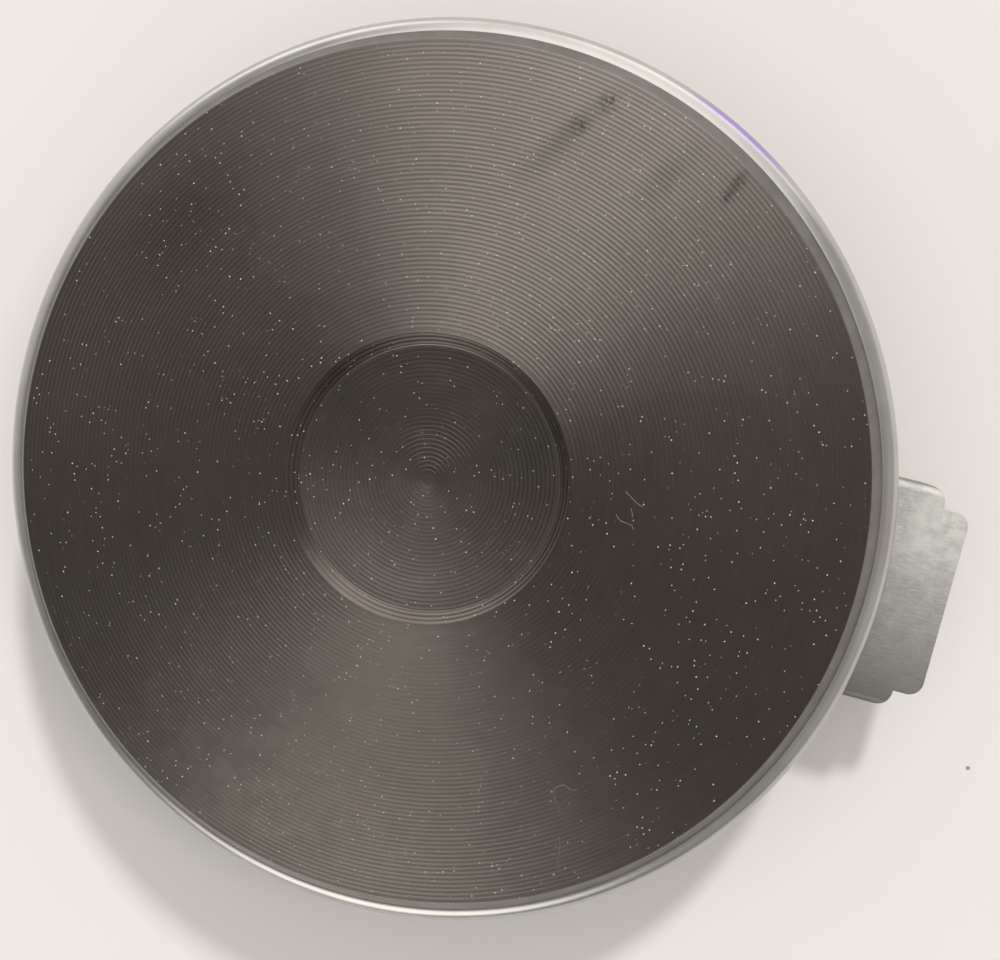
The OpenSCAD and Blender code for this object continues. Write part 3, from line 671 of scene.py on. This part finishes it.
def fibre_mesh(routes, radius, z, sides=6):
    """Thin lint lying on the cooking face, one tube for each route of (x, y) points."""
    verts, faces = [], []
    for route in routes:
        points = []
        for i in range(len(route) - 1):
            p = [Vector(route[max(0, min(len(route) - 1, i + k))]) for k in (-1, 0, 1, 2)]
            for s in range(5):
                t = s / 5
                points.append(0.5 * (2 * p[1] + (p[2] - p[0]) * t
                                     + (2 * p[0] - 5 * p[1] + 4 * p[2] - p[3]) * t * t
                                     + (3 * p[1] - p[0] - 3 * p[2] + p[3]) * t ** 3))
        points.append(Vector(route[-1]))
        first = len(verts)
        for i, q in enumerate(points):
            along = (points[min(i + 1, len(points) - 1)] - points[max(i - 1, 0)]).normalized()
            across = Vector((-along.y, along.x))
            size = radius * (0.35 if i in (0, len(points) - 1) else 1.0)
            for k in range(sides):
                t = TAU * k / sides
                w = q + across * (size * math.cos(t))
                verts.append((w.x, w.y, z + size * math.sin(t)))
        for i in range(len(points) - 1):
            for k in range(sides):
                n = (k + 1) % sides
                a, b = first + i * sides, first + (i + 1) * sides
                faces.append((a + k, b + k, b + n, a + n))
        faces.append(tuple(first + k for k in range(sides)))
        last = first + (len(points) - 1) * sides
        faces.append(tuple(last + k for k in reversed(range(sides))))
    return verts, faces


# The object

MATERIALS = {
    "face": turned_iron("turned_iron", 0.65, (0.209, 0.184, 0.164), (0.253, 0.225, 0.200),
                        (0.306, 0.273, 0.245), (0.34, 0.42)),
    # Painted shade: the recess gets a darker copy of the turned iron.
    "recess": turned_iron("recess_iron_shaded", 0.0, (0.147, 0.130, 0.116), (0.181, 0.161, 0.144),
                          (0.225, 0.200, 0.180), (0.36, 0.44)),
    "machined": machined_iron(),
    "cast": cast_iron(),
    "ring": ring_steel(),
    "zinc": zinc_sheet(),
    "cover": sheet_look("coated_sheet", (0.50, 0.51, 0.51), (0.66, 0.67, 0.67),
                        streak=(0.5, 0.5, 0.5), rough=(0.38, 0.55), lift=0.01),
    "plated": sheet_look("plated_steel", (0.50, 0.49, 0.45), (0.68, 0.67, 0.62),
                         streak=(1.5, 1.5, 0.4), rough=(0.28, 0.44), lift=0.006, edge=0.12),
    "terminal": sheet_look("terminal_metal", (0.56, 0.46, 0.27), (0.72, 0.60, 0.36),
                           streak=(0.3, 2.0, 2.0), rough=(0.26, 0.42), lift=0.006, edge=0.12),
    "steatite": ceramic_look("steatite", (0.70, 0.655, 0.56), (0.79, 0.755, 0.67)),
    "compound": ceramic_look("compound", (0.50, 0.48, 0.43), (0.62, 0.60, 0.55), (0.7, 0.9), 0.06,
                             0.1),
    "nickel": wire_look("nickel_wire", (0.50, 0.475, 0.43), (0.66, 0.63, 0.58)),
    "coil": wire_look("coil_wire", (0.24, 0.215, 0.19), (0.40, 0.36, 0.32)),
}

KEPT = {
    "heating_coil": "coil", "insulation": "compound", "bottom_cover": "cover",
    "cover_washer": "plated", "locating_pin": "plated", "terminal_bracket": "zinc",
    "terminal_block": "steatite", "lead_bushing": "steatite", "lead_beads": "steatite",
    "lead": "nickel", "terminal_plate": "terminal", "clamp_washer": "plated",
    "terminal_screw": "plated",
}


def dress_kept_nodes():
    """The longest prefix of a node's name picks its material."""
    for name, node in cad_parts.items():
        for prefix in sorted(KEPT, key=len, reverse=True):
            if name.startswith(prefix):
                node.data.materials.clear()
                node.data.materials.append(MATERIALS[KEPT[prefix]])
                break


def lint():
    """The few fibres that the photograph shows on the face."""
    look = Look("lint", Base_Color=(0.60, 0.55, 0.47, 1), Roughness=0.9)
    tone = look.noise(look.mm, 0.8, 2)
    look.set(Base_Color=look.blend(tone, (0.24, 0.215, 0.185), (0.42, 0.385, 0.335)))
    routes = [
        [(39.9, 8.0), (41.8, 6.8), (43.0, 6.1), (44.1, 5.8)],
        [(41.9, 5.0), (42.3, 4.1), (42.7, 3.2)],
        [(39.3, 3.1), (39.9, 2.4), (40.6, 2.0), (42.1, 1.8), (42.9, 1.6), (43.5, 0.9)],
        [(45.6, -53.2), (44.1, -53.6), (43.3, -53.2), (42.3, -53.1), (41.2, -54.1),
         (41.1, -55.2), (41.7, -56.5), (42.5, -57.5), (43.4, -59.2)],
        [(44.0, -63.4), (44.7, -64.6), (45.1, -66.3), (45.3, -67.5)],
        [(45.0, -68.0), (45.5, -69.2), (45.8, -70.6)],
        [(28.7, 82.7), (27.3, 81.7), (26.3, 80.3), (25.6, 79.1), (24.8, 77.4), (24.0, 75.9),
         (23.4, 74.5), (23.3, 73.3)],
    ]
    verts, faces = fibre_mesh(routes, FIBRE_R, TOP_Z)
    make_piece("lint", verts, faces, [look.material])


def table_top():
    mesh = bpy.data.meshes.new("table")
    reach, z = 3.0, TABLE_Z * MM
    mesh.from_pydata([(-reach, -reach, z), (reach, -reach, z), (reach, reach, z),
                      (-reach, reach, z)], [], [(0, 1, 2, 3)])
    mesh.materials.append(paper())
    floor = bpy.data.objects.new("table", mesh)
    bpy.context.scene.collection.objects.link(floor)


add_camera()
add_lamp("lamp_window", 6, 79, 38, 1.82, (1.0, 0.985, 0.96))
add_lamp("lamp_side", 14, 31, 50, 0.33, (1.0, 0.97, 0.93))
add_lamp("lamp_sky", 170, 0, 90, 2.08, (1.0, 0.98, 0.955))
light_world()
table_top()
dress_kept_nodes()
cooking_plate(MATERIALS["face"], MATERIALS["recess"], MATERIALS["machined"], MATERIALS["cast"])
trim_ring(MATERIALS["ring"])
threaded_stud(MATERIALS["plated"])
hex_nut(MATERIALS["plated"])
lint()

bpy.context.scene.view_settings.view_transform = "Standard"
